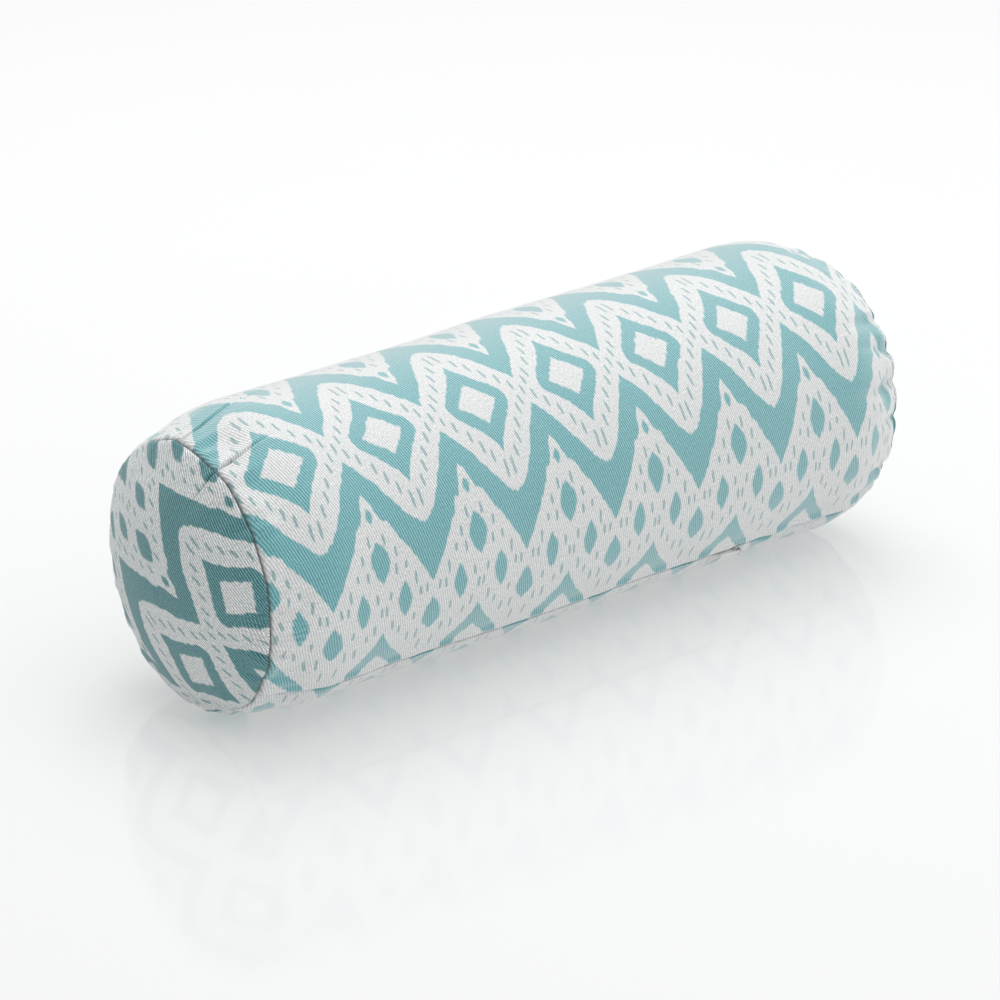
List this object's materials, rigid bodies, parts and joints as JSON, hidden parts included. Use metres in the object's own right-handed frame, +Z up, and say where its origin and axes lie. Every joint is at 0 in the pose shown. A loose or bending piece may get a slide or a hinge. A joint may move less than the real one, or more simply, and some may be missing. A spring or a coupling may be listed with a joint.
{
  "type": "bolster pillow",
  "caption": "Round bolster pillow lying on its side: a printed cotton cover with round ends and a concealed zip along the bottom, over a fibre-filled inner cushion.",
  "frame": {"origin": "on the floor under the middle of the roll", "axes": "+X along the roll towards its thicker end, -Y to the front where the zip is, +Z up"},
  "size_m": [0.498, 0.1842, 0.1798],
  "materials": {
    "cover_print": "off-white cotton twill with a teal ikat print",
    "thread": "spun polyester sewing thread",
    "zip_tape": "woven polyester tape",
    "zip_coil": "nylon coil",
    "zip_metal": "white lacquered zinc",
    "inner_case": "plain white cotton",
    "inner_thread": "white sewing thread",
    "filling": "loose polyester fibre"
  },
  "bodies": {
    "pillow": {"cover_body_panel": "cover_print", "cover_left_end_panel": "cover_print", "cover_right_end_panel": "cover_print", "fibre_filling": "filling", "inner_case_body": "inner_case", "inner_case_left_end": "inner_case", "inner_case_right_end": "inner_case", "inner_closing_stitches": "inner_thread", "inner_left_seam_stitches": "inner_thread", "inner_long_seam_stitches": "inner_thread", "inner_right_seam_stitches": "inner_thread", "left_end_overlock": "thread", "left_end_seam_stitches": "thread", "left_long_seam_stitches": "thread", "right_end_overlock": "thread", "right_end_seam_stitches": "thread", "right_long_seam_stitches": "thread", "zip_bottom_stop": "zip_metal", "zip_coil_lower": "zip_coil", "zip_coil_upper": "zip_coil", "zip_stitching_lower": "thread", "zip_stitching_upper": "thread", "zip_tape_lower": "zip_tape", "zip_tape_upper": "zip_tape", "zip_top_stops": "zip_metal"},
    "slider": {"zip_slider": "zip_metal"},
    "pull": {"zip_pull": "zip_metal"}
  },
  "joints": [
    {"name": "zip_slide", "type": "slide", "parent": "pillow", "child": "slider", "axis": [-0.9998, 0.017, -0.0069], "range_m": [0, 0.272]},
    {"name": "pull_swing", "type": "hinge", "parent": "slider", "child": "pull", "pos_m": [0.10795, -0.07214, 0.02658], "axis": [-0.0162, -0.636, 0.7715], "range_deg": [0, 180]}
  ]
}
